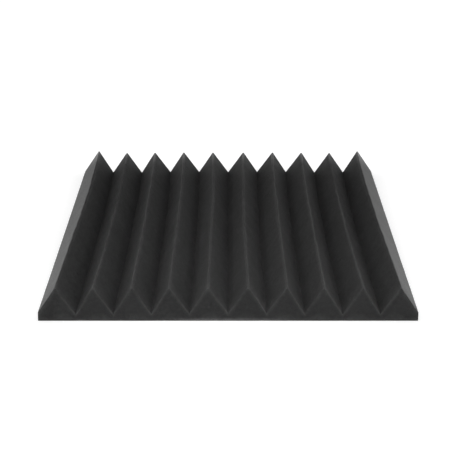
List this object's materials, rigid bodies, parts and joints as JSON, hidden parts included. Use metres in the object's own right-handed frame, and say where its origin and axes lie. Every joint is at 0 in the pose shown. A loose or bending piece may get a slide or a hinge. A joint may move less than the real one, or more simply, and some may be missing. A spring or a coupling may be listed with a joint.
{
  "type": "acoustic foam panel",
  "caption": "Square charcoal foam tile with straight wedges running from edge to edge on a solid foam base, and a self-adhesive back under a split release liner.",
  "frame": {"origin": "middle of the back, on the plane of the release liner's outer face, which is the surface that the tile lies on", "axes": "+X across the wedges, +Y along the wedges, +Z out of the back's plane towards the wedge crests"},
  "size_m": [0.5, 0.5, 0.0484],
  "materials": {
    "foam": "matte",
    "adhesive": "satin",
    "liner": "satin"
  },
  "bodies": {
    "root": {"foam_panel": "foam", "adhesive_layer": "adhesive", "release_liner_left": "liner", "release_liner_right": "liner"}
  },
  "joints": []
}
